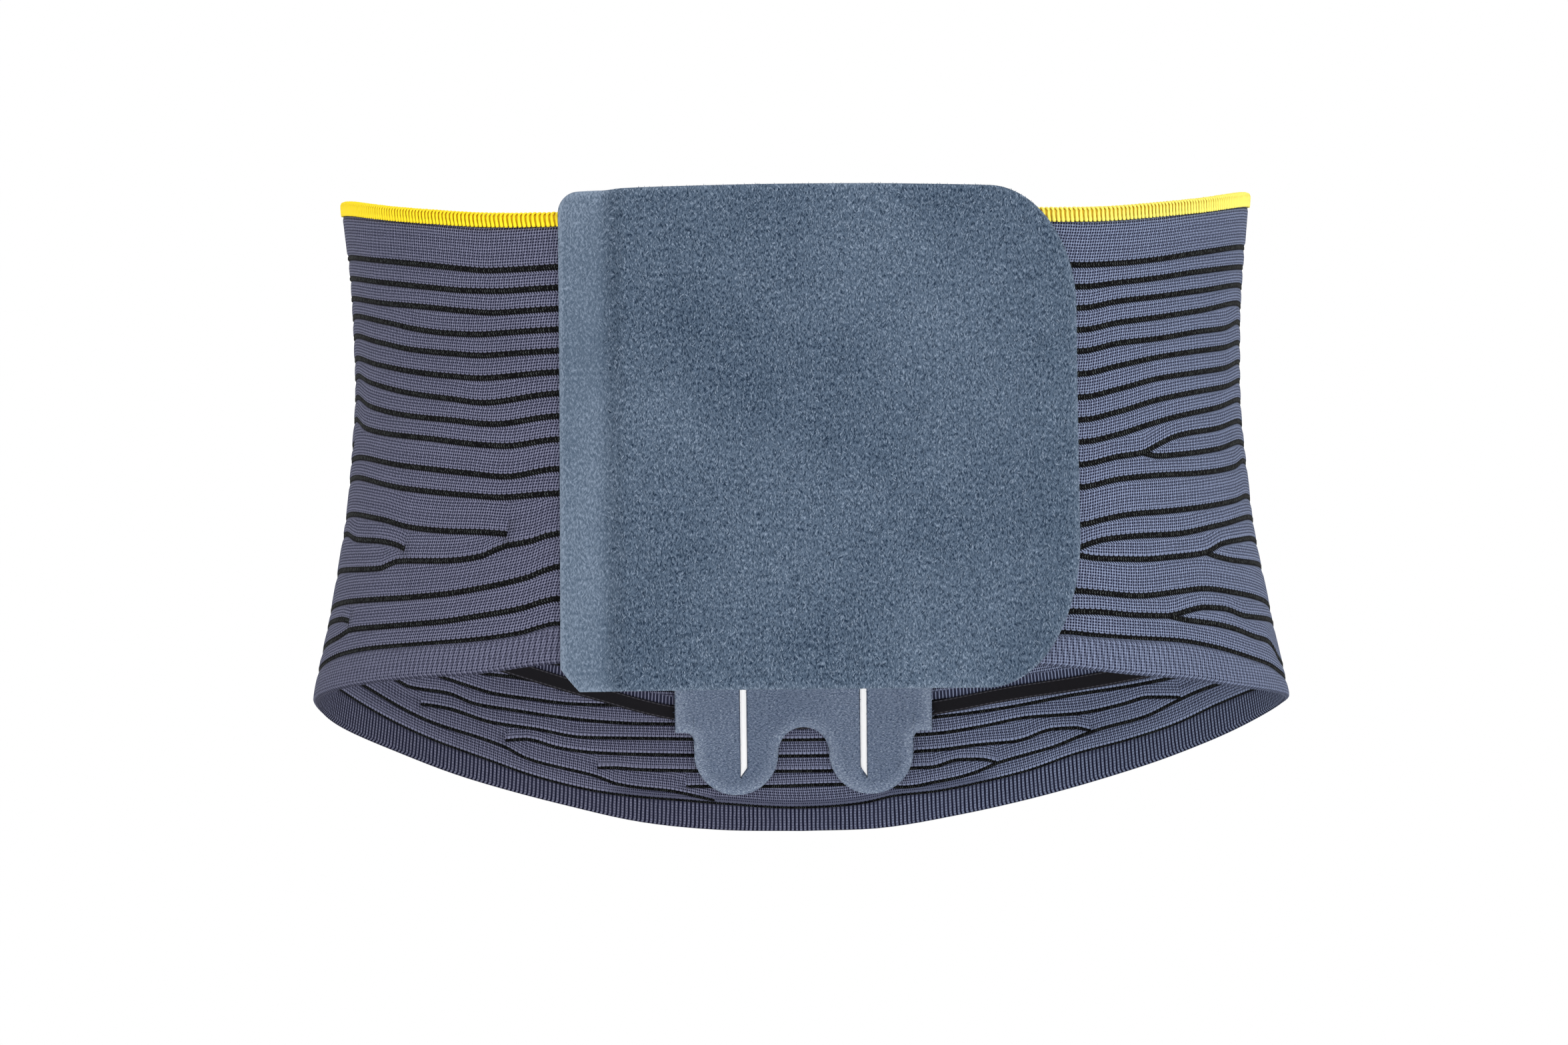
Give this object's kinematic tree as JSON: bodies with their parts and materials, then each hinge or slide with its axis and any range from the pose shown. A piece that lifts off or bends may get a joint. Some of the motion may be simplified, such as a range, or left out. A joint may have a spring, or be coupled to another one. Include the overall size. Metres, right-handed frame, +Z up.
{
  "type": "lumbar support belt",
  "caption": "Knitted support belt for the lower back, closed round the waist by a padded front panel, with a padded back piece, stays and an inside tape.",
  "frame": {"origin": "middle of the waist hollow, at the belt's narrowest level", "axes": "+Z up along the wearer's body, the wearer's front and the closure towards -Y, +X towards the right of the front view"},
  "size_m": [0.3523, 0.2628, 0.2415],
  "materials": {
    "knit": "ribbed elastic knit, lilac grey over navy",
    "edging": "yellow overlock stitch",
    "closure_velour": "brushed loop velour, slate blue",
    "inner_velour": "brushed loop velour, slate blue",
    "back_velour": "short velour, slate blue",
    "stay_plastic": "smooth white",
    "tape": "black woven tape"
  },
  "bodies": {
    "root": {"knit_body": "knit", "top_edging": "edging", "closure_outer": "closure_velour", "closure_inner": "inner_velour", "back_pad": "back_velour", "stay_left": "stay_plastic", "stay_right": "stay_plastic", "back_tape": "tape"}
  },
  "joints": []
}
